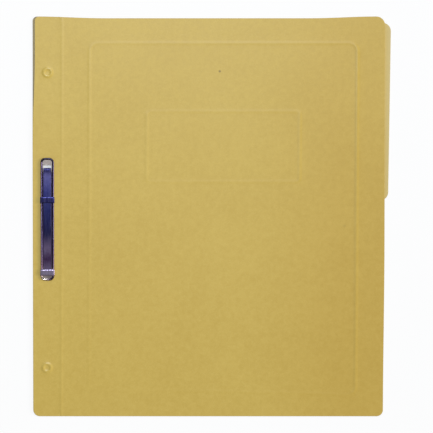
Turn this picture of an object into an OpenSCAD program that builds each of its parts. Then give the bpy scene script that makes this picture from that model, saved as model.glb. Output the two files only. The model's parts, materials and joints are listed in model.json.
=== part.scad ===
// Pressboard file folder: two creased cover sheets bound by a steel prong fastener.
// X points to the fore edge, Y to the head and Z up, off the surface that the folder lies on.
// The origin is the middle of the footprint, on that surface.

/* [Cover sheets] */
// Width of the front cover, from binding edge to fore edge
cover_w = 256.6; // [220:0.1:320]
// Height of both covers, from foot to head
cover_h = 292.2; // [270:0.1:360]
// Thickness of the pressboard
board_t = 0.6; // [0.4:0.05:1.2]
// Radius of the corners at the fore edge
fore_corner_r = 6.4; // [2:0.1:15]
// Radius of the corners at the binding edge
bind_corner_r = 4.8; // [1:0.1:10]
// How far the back cover shows past the front one at the binding edge
back_reveal = 0.6; // [0:0.1:3]
// Air that the texture of the board leaves between the two covers
sheet_gap = 0.05; // [0.05:0.05:2]

/* [Crease] */
// Distance of the crease from the binding edge
crease_x = 20.7; // [18:0.1:40]
// Width of the raised crease line
crease_w = 2.2; // [1:0.1:4]
// Height of the raised crease line
crease_h = 0.25; // [0.1:0.01:0.35]
// Slit along the crease between the binding strip and the leaf
crease_gap = 0.1; // [0.05:0.01:0.3]

/* [Embossed border] */
// Distance from the crease to the middle of the border line
border_inset = 20.1; // [8:0.1:40]
// Distance from the fore edge to the middle of the border line
border_fore_margin = 20.6; // [8:0.1:40]
// Distance from the head and the foot to the middle of the border line
border_end_margin = 18.7; // [8:0.1:40]
// How far the border sits below mid-height
border_drop = 0.6; // [0:0.1:3]
// Corner radius of the border line
border_r = 6; // [3:0.1:15]
// Width of the embossed lines
line_w = 2.4; // [1.2:0.1:4]
// Height of the embossed lines
line_h = 0.3; // [0.1:0.01:0.35]

/* [Title panel] */
// Width of the title panel, between the middles of its lines
title_w = 111.6; // [60:0.1:120]
// Height of the title panel, between the middles of its lines
title_h = 51.4; // [30:0.1:90]
// Distance from the head to the middle of the panel's top line
title_head_margin = 69; // [40:0.1:120]
// Corner radius of the panel's line
title_r = 2.4; // [2.2:0.1:10]

/* [Ring marks] */
// Distance between the two ring marks
mark_pitch = 215.9; // [150:0.1:240]
// Radius of the middle of a ring's line
mark_r = 2.95; // [2.1:0.05:5]
// Width of a ring's line
mark_w = 1.9; // [1:0.1:3]

/* [Index tab] */
// How far the tab stands out of the fore edge at its upper end
tab_depth = 4.3; // [3:0.1:20]
// Length of the tab along the fore edge
tab_len = 129.4; // [60:0.1:200]
// Distance from the head down to the tab
tab_head_gap = 4.6; // [0:0.1:60]
// Corner radius of the tab
tab_r = 6; // [3:0.1:12]
// Lean of the tab's edge, in degrees, so that it is shallower at its lower end
tab_lean = 0.8; // [0:0.1:1]

/* [Prong strip] */
// Distance of the fastener from the binding edge of the front cover
binding_x = 10.2; // [8:0.1:11]
// How far the prongs and the ring marks sit below mid-height
binding_drop = 2.5; // [0:0.1:10]
// Distance between the prongs
prong_pitch = 76.2; // [60:0.05:77]
// Width of the strip and its prongs
prong_w = 5.5; // [4:0.1:5.8]
// Thickness of the strip
prong_t = 0.4; // [0.2:0.05:0.6]
// Length of a folded prong, from its bend to its tip
prong_len = 47.4; // [25:0.1:60]
// Inner radius of the strip's bends
prong_bend_r = 0.4; // [0.2:0.05:0.6]
// Diameter of the holes that the prongs come up through
prong_hole_d = 7.1; // [6.5:0.1:9]
// Clearance between pieces of steel that lie on each other
lay_gap = 0.08; // [0.05:0.01:0.2]

/* [Compressor bar] */
// Length of the bar
bar_len = 89.6; // [86:0.1:120]
// Width of the bar over its curled edges
bar_w = 9.8; // [9.6:0.1:12]
// Thickness of the bar's steel
bar_t = 0.3; // [0.2:0.05:0.35]
// Radius of the bar's rounded corners, seen from above
bar_corner_r = 3.4; // [2:0.1:4.4]
// Inner radius of the curl along the edges
curl_r = 0.25; // [0.15:0.05:0.3]
// Inner radius of the bend between the web and the edges
web_bend_r = 0.35; // [0.2:0.05:0.5]
// How far the curl's free edge hangs below its middle
curl_lip = 0.3; // [0.1:0.05:0.4]
// How far the bar has slipped towards the head on its prongs
bar_shift = 0.8; // [0:0.1:0.9]
// Length of the slots that the prongs pass through
slot_len = 3.4; // [2.6:0.1:5]
// Clearance at the sides of a prong in its slot
slot_clear = 0.3; // [0.1:0.05:0.4]
// Corner radius of the slots
slot_r = 0.8; // [0.3:0.1:1.2]

/* [Slides] */
// Length of a slide along the bar
slide_len = 4.4; // [3:0.1:7]
// Thickness of a slide's steel
slide_t = 0.3; // [0.2:0.05:0.4]
// Clearance between a slide and the bar
slide_clear = 0.06; // [0.04:0.01:0.15]
// Inner radius of a slide's bends
slide_bend_r = 0.3; // [0.2:0.05:0.4]
// Length of the flat feet that hook under the curled edges
slide_foot = 0.25; // [0.15:0.05:0.35]
// Radius of the eased edges on top of a slide
slide_edge_r = 0.25; // [0.1:0.05:0.4]
// Place of the upper slide, from the middle of the bar
upper_slide_y = 14; // [6:0.1:39]
// Gap between the parked lower slide and the rounded corners of the bar
park_gap = 0.2; // [0.2:0.1:20]

/* [Hidden] */
$fn = 96;
// Depth by which raised lines, cuts and thin walls run past what they meet
sink = 0.1;

// Levels, from the resting surface up
back_z = prong_t;
front_z = back_z + board_t + sheet_gap;
bar_z = front_z + board_t;
lower_prong_z = bar_z + bar_t + lay_gap;
upper_prong_z = lower_prong_z + prong_t + lay_gap;

// Curled edge of the bar: high enough for the prongs inside and the slides' feet below
curl_outer = curl_r + bar_t;
rim_w = 2 * curl_outer + web_bend_r;
prong_stack = bar_t + 2 * (prong_t + lay_gap) + lay_gap;
hook_room = slide_t + 2 * slide_clear + curl_lip + curl_outer;
rim_h = max(prong_stack, hook_room, bar_t + web_bend_r + sink + curl_outer);
curl_z = rim_h - curl_outer;

// Middles of the bar's rounded corners
corner_x = bar_w / 2 - bar_corner_r;
corner_y = bar_len / 2 - bar_corner_r;

// Places on the sheets
half_h = cover_h / 2;
binding_y = -binding_drop;
tab_x = cover_w + tab_depth - tab_r;
tab_y = half_h - tab_head_gap - tab_r;
border_x0 = crease_x + border_inset;
border_x1 = cover_w - border_fore_margin;
border_cx = (border_x0 + border_x1) / 2;
border_h = cover_h - 2 * border_end_margin;
title_cy = half_h - title_head_margin - title_h / 2;
lower_slide_y = park_gap + slide_len / 2 - corner_y;
// Distance from the binding edge of the front cover to the middle of the footprint
middle_x = (cover_w + tab_depth - back_reveal) / 2;
// A length that outreaches the whole folder
reach = 2 * (cover_w + cover_h);

board_colour = [0.79, 0.69, 0.39];
steel_colour = [0.36, 0.36, 0.54];

// Moves a shape that is drawn from the front cover's binding edge to the folder's origin
module in_place(z) {
  translate([-middle_x, 0, z]) children();
}

// Moves a shape that is drawn round the middle of the prong strip into place
module at_binding(z) {
  in_place(z) translate([binding_x, binding_y, 0]) children();
}

// Moves a shape that is drawn round the middle of the bar into place
module at_bar() {
  at_binding(bar_z) translate([0, bar_shift, 0]) children();
}

// A shape and its copy, turned half round about the origin
module both_ends() {
  for (turn = [0, 180]) rotate(turn) children();
}

// Rectangle from the origin up, with a radius for each corner, counter-clockwise
module rounded_rect(w, h, r) {
  polygon([[r[0], 0], [w - r[1], 0], [w, r[1]], [w, h - r[2]],
           [w - r[2], h], [r[3], h], [0, h - r[3]], [0, r[0]]]);
  translate([r[0], r[0]]) circle(r[0]);
  translate([w - r[1], r[1]]) circle(r[1]);
  translate([w - r[2], h - r[2]]) circle(r[2]);
  translate([r[3], h - r[3]]) circle(r[3]);
}

// Quarter of a ring of sheet metal, in the quadrant of the plane that the signs name
module bend(inner, t, sign_x, sign_y) {
  outer = inner + t;
  intersection() {
    difference() {
      circle(outer);
      circle(inner);
    }
    translate([sign_x < 0 ? -outer : 0, sign_y < 0 ? -outer : 0]) square(outer);
  }
}

// Section of an embossed line: a low arc on a foot that runs into the sheet
module line_section(w, h) {
  r = (w * w / 4 + h * h) / (2 * h);
  intersection() {
    translate([0, h - r]) circle(r);
    translate([-w / 2, -sink]) square([w, h + sink]);
  }
}

// Straight embossed line along Y
module line_y(len, w, h) {
  rotate([90, 0, 0]) linear_extrude(len, center = true) line_section(w, h);
}

// Quarter turn of an embossed line
module line_corner(r, w, h) {
  rotate_extrude(angle = 90) translate([r, 0]) line_section(w, h);
}

// Embossed line that follows a rounded rectangle round the origin
module line_rect(size, r, w, h) {
  half = [size[0] / 2 - r, size[1] / 2 - r];
  both_ends() {
    translate([size[0] / 2, 0, 0]) line_y(2 * half[1], w, h);
    translate([0, size[1] / 2, 0]) rotate(90) line_y(2 * half[0], w, h);
    translate([half[0], half[1], 0]) line_corner(r, w, h);
    translate([-half[0], half[1], 0]) rotate(90) line_corner(r, w, h);
  }
}

// Holes that the prongs come up through
module prong_holes() {
  translate([binding_x, binding_y]) both_ends()
    translate([0, prong_pitch / 2]) circle(d = prong_hole_d);
}

// Outline of a cover sheet whose binding edge stands out by reveal
module sheet_outline(reveal) {
  translate([-reveal, -half_h])
    rounded_rect(cover_w + reveal, cover_h,
                 [bind_corner_r, fore_corner_r, fore_corner_r, bind_corner_r]);
}

// Outline of the index tab: it leans about its upper corner and reaches into the sheet
module tab_outline() {
  span = tab_len - 2 * tab_r;
  root = tab_depth + tab_r;
  translate([tab_x, tab_y]) rotate(-tab_lean) {
    circle(tab_r);
    translate([0, -span]) circle(tab_r);
    translate([0, -span]) square([tab_r, span]);
    translate([-root, -span - tab_r]) square([root, tab_len]);
  }
}

// All that is embossed on the front cover
module front_lines() {
  translate([crease_x, 0, 0]) line_y(cover_h, crease_w, crease_h);
  translate([border_cx, -border_drop, 0])
    line_rect([border_x1 - border_x0, border_h], border_r, line_w, line_h);
  translate([border_cx, title_cy, 0]) line_rect([title_w, title_h], title_r, line_w, line_h);
  translate([binding_x, binding_y, 0]) both_ends()
    translate([0, mark_pitch / 2, 0])
      rotate_extrude() translate([mark_r, 0]) line_section(mark_w, line_h);
}

// Front sheet: its lines stand up from the face and are hollow behind
module front_sheet() {
  difference() {
    union() {
      linear_extrude(board_t) difference() {
        sheet_outline(0);
        prong_holes();
      }
      translate([0, 0, board_t]) front_lines();
    }
    front_lines();
  }
}

// Back sheet: its crease stands out of the outer face, which lies down
module back_sheet() {
  difference() {
    union() {
      linear_extrude(board_t) difference() {
        union() {
          sheet_outline(back_reveal);
          tab_outline();
        }
        prong_holes();
      }
      translate([crease_x, 0, 0]) mirror([0, 0, 1]) line_y(cover_h, crease_w, crease_h);
    }
    translate([crease_x, 0, board_t]) mirror([0, 0, 1]) line_y(cover_h, crease_w, crease_h);
  }
}

// All that lies on the fore edge's side of the crease
module leaf_side() {
  translate([crease_x + crease_gap / 2, -reach / 2, -reach / 2]) cube(reach);
}

// All that lies on the binding edge's side of the crease
module binding_side() {
  translate([crease_x - crease_gap / 2 - reach, -reach / 2, -reach / 2]) cube(reach);
}

// Section of the bar's edge, from its outermost point inwards: web bend, wall, curl and lip
module rim_section() {
  wall_z = bar_t + web_bend_r;
  translate([-rim_w, wall_z]) bend(web_bend_r, bar_t, 1, -1);
  translate([-2 * curl_outer, wall_z]) square([bar_t, curl_z - wall_z]);
  translate([-curl_outer, curl_z]) {
    bend(curl_r, bar_t, -1, 1);
    bend(curl_r, bar_t, 1, 1);
  }
  translate([-bar_t, curl_z - curl_lip]) square([bar_t, curl_lip]);
}

// Curled edge that runs all round the bar
module bar_rim() {
  both_ends() {
    translate([bar_w / 2, 0, 0]) rotate([90, 0, 0])
      linear_extrude(2 * corner_y, center = true) rim_section();
    translate([0, bar_len / 2, 0]) rotate([90, 0, 90])
      linear_extrude(2 * corner_x, center = true) rim_section();
    translate([corner_x, corner_y, 0])
      rotate_extrude(angle = 90) translate([bar_corner_r, 0]) rim_section();
    translate([-corner_x, corner_y, 0]) rotate(90)
      rotate_extrude(angle = 90) translate([bar_corner_r, 0]) rim_section();
  }
}

// Flat web of the bar inside its curled edge
module web_outline() {
  size = [bar_w - 2 * rim_w, bar_len - 2 * rim_w];
  r = bar_corner_r - rim_w;
  translate(-size / 2) rounded_rect(size[0], size[1], [r, r, r, r]);
}

// Slots in the web that the prongs pass through
module prong_slots() {
  slot_w = prong_w + 2 * slot_clear;
  both_ends() translate([-slot_w / 2, (prong_pitch - slot_len) / 2])
    rounded_rect(slot_w, slot_len, [slot_r, slot_r, slot_r, slot_r]);
}

// Half of the prong strip: base, riser and a prong that is folded inwards at a level
module prong(level) {
  riser_y = (prong_pitch - prong_t) / 2;
  bend_y = riser_y - prong_bend_r;
  bend_z = prong_t + prong_bend_r;
  fold_z = level - prong_bend_r;
  tip_y = prong_pitch / 2 - prong_len + prong_w / 2;
  rotate([90, 0, 90]) linear_extrude(prong_w, center = true) {
    square([bend_y, prong_t]);
    translate([bend_y, bend_z]) bend(prong_bend_r, prong_t, 1, -1);
    translate([riser_y, bend_z]) square([prong_t, fold_z - bend_z]);
    translate([bend_y, fold_z]) bend(prong_bend_r, prong_t, 1, 1);
  }
  translate([0, 0, level]) linear_extrude(prong_t) {
    translate([-prong_w / 2, tip_y]) square([prong_w, bend_y - tip_y]);
    translate([0, tip_y]) circle(d = prong_w);
  }
}

// Section of a slide: a band over the bar with feet that hook under its curled edges
module slide_section() {
  inner_x = bar_w / 2 + slide_clear;
  inner_z = rim_h + slide_clear;
  bend_x = inner_x - slide_bend_r;
  low_z = slide_clear + slide_t + slide_bend_r;
  high_z = inner_z - slide_bend_r;
  translate([-bend_x, inner_z]) square([2 * bend_x, slide_t]);
  for (side = [-1, 1]) {
    translate([side * bend_x, high_z]) bend(slide_bend_r, slide_t, side, 1);
    translate([side * (inner_x + slide_t / 2), (low_z + high_z) / 2])
      square([slide_t, high_z - low_z], center = true);
    translate([side * bend_x, low_z]) bend(slide_bend_r, slide_t, side, -1);
    translate([side * (bend_x - slide_foot / 2), slide_clear + slide_t / 2])
      square([slide_foot, slide_t], center = true);
  }
}

// Side view of a slide: upright ends with eased upper edges
module slide_profile() {
  top = rim_h + slide_clear + slide_t;
  ease = min(slide_edge_r, slide_t);
  translate([-slide_len / 2, 0]) square([slide_len, top - ease]);
  translate([-slide_len / 2 + ease, 0]) square([slide_len - 2 * ease, top]);
  for (end = [-1, 1]) translate([end * (slide_len / 2 - ease), top - ease]) circle(ease);
}

// Sliding lock at a place along the bar
module slide(y) {
  translate([0, y, 0]) intersection() {
    rotate([90, 0, 0]) linear_extrude(slide_len, center = true) slide_section();
    rotate([90, 0, 90]) linear_extrude(2 * bar_w, center = true) slide_profile();
  }
}

module front_cover() {
  color(board_colour) in_place(front_z) intersection() {
    front_sheet();
    leaf_side();
  }
}

module front_binding_strip() {
  color(board_colour) in_place(front_z) intersection() {
    front_sheet();
    binding_side();
  }
}

module back_cover() {
  color(board_colour) in_place(back_z) intersection() {
    back_sheet();
    leaf_side();
  }
}

module back_binding_strip() {
  color(board_colour) in_place(back_z) intersection() {
    back_sheet();
    binding_side();
  }
}

module prong_strip() {
  color(steel_colour) at_binding(0) {
    prong(upper_prong_z);
    rotate(180) prong(lower_prong_z);
  }
}

module compressor_bar() {
  color(steel_colour) at_bar() {
    bar_rim();
    linear_extrude(bar_t) difference() {
      web_outline();
      prong_slots();
    }
  }
}

module upper_slide() {
  color(steel_colour) at_bar() slide(upper_slide_y);
}

module lower_slide() {
  color(steel_colour) at_bar() slide(lower_slide_y);
}

front_cover();
front_binding_strip();
back_cover();
back_binding_strip();
prong_strip();
compressor_bar();
upper_slide();
lower_slide();
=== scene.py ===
"""Pressboard file folder: creased cover sheets bound by a steel prong fastener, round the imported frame.

Sizes are in millimetres and meshes are scaled to metres as they are made. X points to the fore edge, Y
to the head and Z up, off the surface that the folder lies on.
"""

import json
import logging
import math
from collections.abc import Iterable, Mapping, Sequence
from dataclasses import dataclass, field
from enum import Enum

import bmesh
import bpy
from mathutils import Euler, Matrix, Vector
from mathutils.geometry import area_tri, delaunay_2d_cdt


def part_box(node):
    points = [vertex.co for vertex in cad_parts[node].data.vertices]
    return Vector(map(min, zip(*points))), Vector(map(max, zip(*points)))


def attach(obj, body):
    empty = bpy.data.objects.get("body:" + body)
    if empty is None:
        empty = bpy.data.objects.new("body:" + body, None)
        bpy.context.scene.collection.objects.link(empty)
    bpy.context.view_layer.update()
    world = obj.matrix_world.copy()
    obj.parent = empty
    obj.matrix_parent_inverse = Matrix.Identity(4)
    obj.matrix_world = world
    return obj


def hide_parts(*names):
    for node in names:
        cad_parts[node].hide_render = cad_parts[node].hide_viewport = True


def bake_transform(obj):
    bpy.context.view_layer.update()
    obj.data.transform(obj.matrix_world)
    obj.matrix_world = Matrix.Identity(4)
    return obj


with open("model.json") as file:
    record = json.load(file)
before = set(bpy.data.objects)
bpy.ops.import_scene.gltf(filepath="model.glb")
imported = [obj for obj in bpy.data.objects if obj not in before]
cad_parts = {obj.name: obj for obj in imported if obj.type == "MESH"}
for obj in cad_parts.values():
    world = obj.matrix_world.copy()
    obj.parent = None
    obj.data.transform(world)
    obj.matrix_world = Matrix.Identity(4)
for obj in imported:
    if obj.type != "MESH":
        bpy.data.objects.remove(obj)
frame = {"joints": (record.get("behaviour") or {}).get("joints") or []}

LOG = logging.getLogger("folder")
MM = 0.001
PRONG_T = 0.4
MERGE_GAP = 1e-4
LEAST_AREA = 1e-4
STRAIGHT = math.radians(89)

Point = tuple[float, float]
Spot = tuple[float, float, float]
Colour = tuple[float, float, float]
Setting = float | int | bool | str | Sequence[float]


class Value:
    """A socket of a node tree that takes part in Python arithmetic."""

    def __init__(self, tree: "Tree", socket: bpy.types.NodeSocket) -> None:
        """Keeps the tree and the socket."""
        self.tree = tree
        self.socket = socket

    def other(self, output: str) -> "Value":
        """Another output of the node that this value comes from."""
        return Value(self.tree, self.socket.node.outputs[output])

    def math(self, operation: str, *values: "Value | float") -> "Value":
        """Adds a Math node that works on the given values."""
        return self.tree.node("ShaderNodeMath", {"operation": operation}, dict(enumerate(values)))

    def __add__(self, other: "Value | float") -> "Value":
        """Sum of two values."""
        return self.math("ADD", self, other)

    def __sub__(self, other: "Value | float") -> "Value":
        """Difference of two values."""
        return self.math("SUBTRACT", self, other)

    def __rsub__(self, other: float) -> "Value":
        """Difference of a number and a value."""
        return self.math("SUBTRACT", other, self)

    def __mul__(self, other: "Value | float") -> "Value":
        """Product of two values."""
        return self.math("MULTIPLY", self, other)

    def __truediv__(self, other: "Value | float") -> "Value":
        """Quotient of two values."""
        return self.math("DIVIDE", self, other)

    def __pow__(self, power: "Value | float") -> "Value":
        """Value raised to a power."""
        return self.math("POWER", self, power)

    def __abs__(self) -> "Value":
        """Value without its sign."""
        return self.math("ABSOLUTE", self)

    __radd__ = __add__
    __rmul__ = __mul__

    def least(self, other: "Value | float") -> "Value":
        """Smaller of two values."""
        return self.math("MINIMUM", self, other)

    def most(self, other: "Value | float") -> "Value":
        """Larger of two values."""
        return self.math("MAXIMUM", self, other)

    def ramp(self, start: float, end: float, low: float = 0.0, high: float = 1.0) -> "Value":
        """Smooth step from low at start to high at end, held beyond them."""
        sockets = {"Value": self, "From Min": start, "From Max": end, "To Min": low, "To Max": high}
        return self.tree.node("ShaderNodeMapRange", {"interpolation_type": "SMOOTHSTEP"}, sockets)

    def fade(self, start: float, end: float) -> "Value":
        """Smooth step from 1 at start to 0 at end, held beyond them."""
        return self.ramp(start, end, 1.0, 0.0)


class Tree:
    """A shader or geometry node tree that is built by calls."""

    def __init__(self, tree: bpy.types.NodeTree) -> None:
        """Keeps the tree and empties it."""
        self.tree = tree
        self.tree.nodes.clear()

    def node(
        self,
        kind: str,
        settings: Mapping[str, object] | None = None,
        sockets: dict[str | int, "Value | Setting"] | None = None,
        output: str | int = 0,
    ) -> Value:
        """Adds a node.

        Args:
            kind: type of the node.
            settings: its properties, and a ramp's stops as (place, colour) pairs; they are set first.
            sockets: value or link of each named or numbered input.
            output: output that is handed back.

        Returns:
            The chosen output, or the first one.
        """
        made = self.tree.nodes.new(kind)
        for name, value in (settings or {}).items():
            if name == "stops":
                self._stops(made.color_ramp, value)
            else:
                setattr(made, name, value)
        for name, value in (sockets or {}).items():
            if isinstance(value, Value):
                self.tree.links.new(value.socket, made.inputs[name])
            else:
                made.inputs[name].default_value = value
        return Value(self, made.outputs[output]) if made.outputs else Value(self, made.inputs[0])

    @staticmethod
    def _stops(ramp: bpy.types.ColorRamp, stops: Sequence[tuple[float, Colour]]) -> None:
        """Gives a colour ramp its stops."""
        while len(ramp.elements) < len(stops):
            ramp.elements.new(1.0)
        for element, (place, colour) in zip(ramp.elements, stops):
            element.position = place
            element.color = (*colour, 1.0)

    def mix(self, factor: Value | float, a: Value | Colour, b: Value | Colour, blend: str = "MIX") -> Value:
        """Mixes two colours.

        Args:
            factor: share of the second colour.
            a: first colour.
            b: second colour.
            blend: way of mixing.

        Returns:
            The mixed colour.
        """
        ends = [end if isinstance(end, Value) else (*end, 1.0) for end in (a, b)]
        settings = {"data_type": "RGBA", "blend_type": blend}
        return self.node("ShaderNodeMix", settings, {0: factor, 6: ends[0], 7: ends[1]}, output=2)

    def noise(self, place: Value, size: float, detail: float = 3.0, roughness: float = 0.6) -> Value:
        """Noise from about 0 to 1.

        Args:
            place: coordinates in metres.
            size: size of its features in millimetres.
            detail: octaves of finer noise.
            roughness: strength of each finer octave.

        Returns:
            The noise value.
        """
        sockets = {"Vector": place, "Scale": 1.0 / (size * MM), "Detail": detail, "Roughness": roughness}
        return self.node("ShaderNodeTexNoise", {"normalize": True}, sockets)

    def drawn(self, place: Value, stretch: Spot) -> Value:
        """Coordinates for features that are drawn out by a factor along each axis."""
        sockets = {"Vector": place, "Scale": stretch}
        return self.node("ShaderNodeMapping", {"vector_type": "TEXTURE"}, sockets)

    def attribute(self, name: str) -> Value:
        """Value of an attribute of the mesh that a material is on."""
        return self.node("ShaderNodeAttribute", {"attribute_name": name}, output="Fac")

    def store(self, geometry: Value, name: str, value: Value) -> Value:
        """Geometry that keeps a value at its points as a named attribute."""
        settings = {"data_type": "FLOAT", "domain": "POINT"}
        sockets = {"Geometry": geometry, "Name": name, "Value": value}
        return self.node("GeometryNodeStoreNamedAttribute", settings, sockets)

    def principled(
        self, colour: Value, roughness: Value, height: Value, bump: Point, fixed: dict[str, Setting]
    ) -> None:
        """Ends a material in a Principled shader with a bump.

        Args:
            colour: its base colour.
            roughness: its roughness.
            height: height of the bump.
            bump: strength of the bump and its depth in millimetres.
            fixed: value of each other socket that is set.
        """
        strength, depth = bump
        sockets = {"Strength": strength, "Distance": depth * MM, "Height": height}
        normal = self.node("ShaderNodeBump", None, sockets)
        varying = {"Base Color": colour, "Roughness": roughness, "Normal": normal}
        shader = self.node("ShaderNodeBsdfPrincipled", None, varying | fixed)
        self.node("ShaderNodeOutputMaterial", None, {"Surface": shader})


def new_material(name: str) -> tuple[bpy.types.Material, Tree]:
    """Makes an empty node material.

    Args:
        name: name of the material.

    Returns:
        The material and its tree.
    """
    material = bpy.data.materials.new(name)
    material.use_nodes = True
    return material, Tree(material.node_tree)


@dataclass(frozen=True)
class PressboardFinish:
    """Calendered yellow pressboard: mottled stock with fibres, rare specks and fibrous cut edges."""

    stock: Colour = (0.568, 0.396, 0.077)
    deep: Colour = (0.494, 0.332, 0.054)
    pale: Colour = (0.648, 0.475, 0.110)
    fibre: Colour = (0.690, 0.570, 0.200)
    speck: Colour = (0.110, 0.070, 0.030)
    core: Colour = (0.520, 0.430, 0.230)
    # painted sheen: makes the back sheet's index tab paler than the rest
    faded: Colour = (0.600, 0.490, 0.245)
    # painted shade: dark band on the upper binding edge of the back sheet, where the front sheet's edge
    # shades it
    soil: Colour = (0.290, 0.230, 0.120)
    # painted shade: darker towards the fore edge and most towards the foot, standing in for light that
    # falls off there
    thumbed: Colour = (0.935, 0.890, 0.790)
    cloud_mm: float = 55.0
    cloud_share: float = 0.22
    mottle_mm: float = 3.2
    mottle_detail: float = 4.0
    mottle_share: float = 0.43
    grain_mm: float = 0.7
    grain_share: float = 0.35
    shade_ramp: Point = (0.30, 0.70)
    even_share: float = 0.55
    fibre_pitches_mm: Point = (2.6, 4.3)
    fibre_mm: float = 0.16
    fibre_taper: float = 0.7
    fibre_side: Point = (0.3, 0.6)
    fibre_share: float = 0.16
    crest_rub_and_highlight_share: float = 0.10
    speck_pitch_mm: float = 24.0
    speck_mm: float = 0.45
    speck_core: float = 0.4
    speck_pick: Point = (0.80, 0.82)
    speck_share: float = 0.85
    tab_sheen_share: float = 0.6
    core_share: float = 0.8
    binding_edge_shade_share: float = 0.9
    roughness: float = 0.46
    mottle_rough: float = 0.12
    cut_rough: float = 0.20
    rubbed_polish: float = 0.05
    mottle_height: float = 0.5
    grain_height: float = 0.3
    fibre_height: float = 0.2
    bump: Point = (0.22, 0.06)
    specular: float = 0.4

    def material(self) -> bpy.types.Material:
        """Builds the material."""
        material, tree = new_material("pressboard")
        place = tree.node("ShaderNodeTexCoord", output="Object")
        cloud = tree.noise(place, self.cloud_mm, roughness=0.5)
        mottle = tree.noise(place, self.mottle_mm, self.mottle_detail)
        grain = tree.noise(place, self.grain_mm)
        short, long = (self._fibres(tree, place, pitch) for pitch in self.fibre_pitches_mm)
        fibres = short.most(long)
        relief, cut = tree.attribute("relief"), tree.attribute("cut")
        shade = self.cloud_share * cloud + self.mottle_share * mottle + self.grain_share * grain
        colour = tree.mix(shade.ramp(*self.shade_ramp), self.deep, self.pale)
        colour = tree.mix(self.even_share, colour, self.stock)
        colour = tree.mix(self.fibre_share * fibres, colour, self.fibre)
        # raised lines lighter on their crests: partly rubbing, partly a painted highlight
        colour = tree.mix(self.crest_rub_and_highlight_share * relief, colour, self.pale)
        specks = self.speck_share * self._specks(tree, place)
        colour = tree.mix(specks.most(tree.attribute("stain")), colour, self.speck)
        # painted shade towards the fore edge and the foot
        colour = tree.mix(tree.attribute("thumbed"), colour, self.thumbed, "MULTIPLY")
        # painted sheen that makes the index tab paler
        colour = tree.mix(self.tab_sheen_share * tree.attribute("faded"), colour, self.faded)
        colour = tree.mix(self.core_share * cut, colour, self.core)
        # painted shade along the upper binding edge of the back sheet
        colour = tree.mix(self.binding_edge_shade_share * tree.attribute("soil"), colour, self.soil)
        roughness = self.roughness + self.mottle_rough * (mottle - 0.5) + self.cut_rough * cut
        roughness = roughness - self.rubbed_polish * relief
        height = self.mottle_height * mottle + self.grain_height * grain + self.fibre_height * fibres
        tree.principled(colour, roughness, height, self.bump, {"Specular IOR Level": self.specular})
        return material

    def _fibres(self, tree: Tree, place: Value, pitch: float) -> Value:
        """Straight fibres at random angles, one in each cell of an irregular pattern.

        Args:
            tree: tree of the material.
            place: coordinates in metres.
            pitch: mean distance of the fibres in millimetres.

        Returns:
            Mask of the fibres.
        """
        sockets = {"Vector": place, "Scale": 1.0 / (pitch * MM)}
        middle = tree.node("ShaderNodeTexVoronoi", {"voronoi_dimensions": "2D"}, sockets, output="Position")
        lean = tree.node("ShaderNodeSeparateColor", None, {"Color": middle.other("Color")}) * math.pi
        offset = tree.node("ShaderNodeVectorMath", {"operation": "SUBTRACT"}, {0: place, 1: middle})
        x = tree.node("ShaderNodeSeparateXYZ", None, {"Vector": offset})
        y = x.other("Y")
        cosine, sine = lean.math("COSINE", lean), lean.math("SINE", lean)
        along, across = abs(x * cosine + y * sine), abs(y * cosine - x * sine)
        reach = pitch / 2 * MM
        inner, outer = (side * self.fibre_mm * MM for side in self.fibre_side)
        return along.fade(self.fibre_taper * reach, reach) * across.fade(inner, outer)

    def _specks(self, tree: Tree, place: Value) -> Value:
        """Rare dark specks of bark in the stock, as a mask."""
        sockets = {"Vector": place, "Scale": 1.0 / (self.speck_pitch_mm * MM)}
        cell = tree.node("ShaderNodeTexVoronoi", {"feature": "F1"}, sockets, output="Distance")
        pick = tree.node("ShaderNodeSeparateColor", None, {"Color": cell.other("Color")})
        size = self.speck_mm / self.speck_pitch_mm
        return cell.fade(self.speck_core * size, size) * pick.ramp(*self.speck_pick)


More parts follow.
